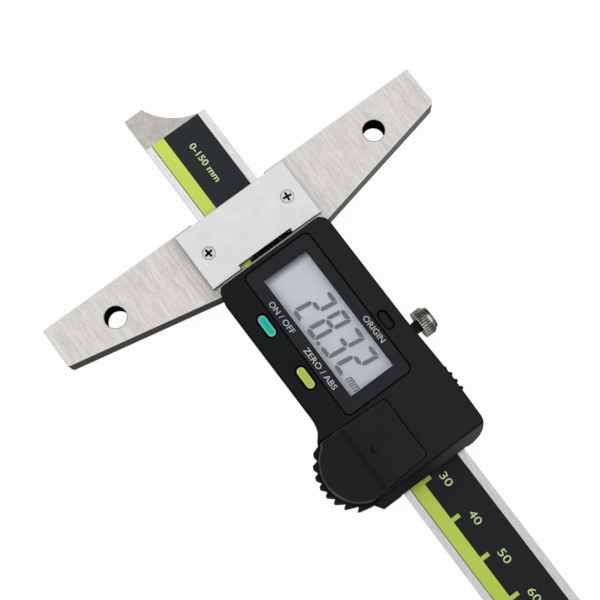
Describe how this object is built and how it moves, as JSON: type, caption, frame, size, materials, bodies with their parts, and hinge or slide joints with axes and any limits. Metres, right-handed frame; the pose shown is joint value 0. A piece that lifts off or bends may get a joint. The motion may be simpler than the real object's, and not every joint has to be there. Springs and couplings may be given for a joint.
{
  "type": "digital depth gauge",
  "caption": "Digital depth gauge lying on its back: steel base with tapered wings, sliding hooked beam with a scale, black display unit, three buttons and a knurled locking screw.",
  "frame": {"origin": "on the measuring face of the base, on the beam's centre line, level with the back of the base", "axes": "+Z out of the display, +Y out of the measuring face towards the beam tip, +X along the base to the right seen from the front with the tip up"},
  "size_m": [0.1, 0.233, 0.0129],
  "materials": {
    "base_steel": "brushed across the base",
    "cover_steel": "satin",
    "screw_steel": "plated",
    "housing_black": "fine grain",
    "plate_black": "fine grain",
    "window_clear": "clear",
    "lcd_grey": "matt display",
    "holder_white": "moulded",
    "zebra_rubber": "layered elastomer",
    "chip_black": "moulded",
    "board_green": "solder mask",
    "pad_rubber": "moulded",
    "cell_steel": "plated",
    "contact_steel": "spring steel",
    "brass": "satin",
    "screw_black": "blackened",
    "beam_steel": "ground along its length",
    "scale_epoxy": "glass epoxy",
    "scale_print": "printed film, lime band and figures",
    "stop_steel": "satin",
    "knob_steel": "satin nickel, knurled",
    "button_teal": "satin",
    "button_lime": "satin",
    "button_black": "satin",
    "lid_black": "fine grain"
  },
  "bodies": {
    "gauge": {"slider_base": "base_steel", "cover_plate": "cover_steel", "cover_screws": "screw_steel", "front_housing": "housing_black", "display_plate": "plate_black", "lcd_window": "window_clear", "lcd_panel": "lcd_grey", "lcd_holder": "holder_white", "zebra_strip": "zebra_rubber", "processor_chip": "chip_black", "circuit_board": "board_green", "sensor_board": "board_green", "button_pad_left": "pad_rubber", "button_pad_right": "pad_rubber", "battery_holder": "housing_black", "battery_cell": "cell_steel", "battery_contact_minus": "contact_steel", "battery_contact_plus": "contact_steel", "gib_strip": "brass", "gib_screws": "screw_black", "housing_screws": "screw_steel", "output_connector": "chip_black"},
    "beam": {"depth_beam": "beam_steel", "scale_plate": "scale_epoxy", "scale_label": "scale_print", "beam_stop": "stop_steel", "stop_screws": "screw_steel"},
    "clamp_pad": {"clamp_pad": "brass"},
    "clamp_screw": {"clamp_screw": "knob_steel"},
    "on_off_button": {"on_off_button": "button_teal"},
    "zero_button": {"zero_button": "button_lime"},
    "origin_button": {"origin_button": "button_black"},
    "battery_lid": {"battery_lid": "lid_black"},
    "output_cover": {"output_cover": "lid_black"}
  },
  "joints": [
    {"name": "beam_slide", "type": "slide", "parent": "gauge", "child": "beam", "axis": [0, 1, 0], "range_m": [-0.02832, 0.12168]},
    {"name": "on_off_button_press", "type": "slide", "parent": "gauge", "child": "on_off_button", "axis": [0, 0, -1], "range_m": [0, 0.00033], "stiffness_N_per_m": 1500, "springref_m": -0.0002},
    {"name": "zero_button_press", "type": "slide", "parent": "gauge", "child": "zero_button", "axis": [0, 0, -1], "range_m": [0, 0.00033], "stiffness_N_per_m": 1500, "springref_m": -0.0002},
    {"name": "origin_button_press", "type": "slide", "parent": "gauge", "child": "origin_button", "axis": [0, 0, -1], "range_m": [0, 0.00033], "stiffness_N_per_m": 1500, "springref_m": -0.0002},
    {"name": "clamp_pad_slide", "type": "slide", "parent": "gauge", "child": "clamp_pad", "axis": [1, 0, 0], "range_m": [-0.0002, 0.00067]},
    {"name": "clamp_screw_turn", "type": "hinge", "parent": "clamp_pad", "child": "clamp_screw", "pos_m": [0.0106, -0.048, 0.0047], "axis": [1, 0, 0], "range_deg": [-160.5, 537]},
    {"name": "battery_lid_slide", "type": "slide", "parent": "gauge", "child": "battery_lid", "axis": [-1, 0, 0], "range_m": [0, 0.016]},
    {"name": "output_cover_pull", "type": "slide", "parent": "gauge", "child": "output_cover", "axis": [1, 0, 0], "range_m": [0, 0.004]}
  ],
  "couplings": [
    {"joint": "clamp_screw_turn", "follows": "clamp_pad_slide", "rad_per_m": 13963}
  ]
}
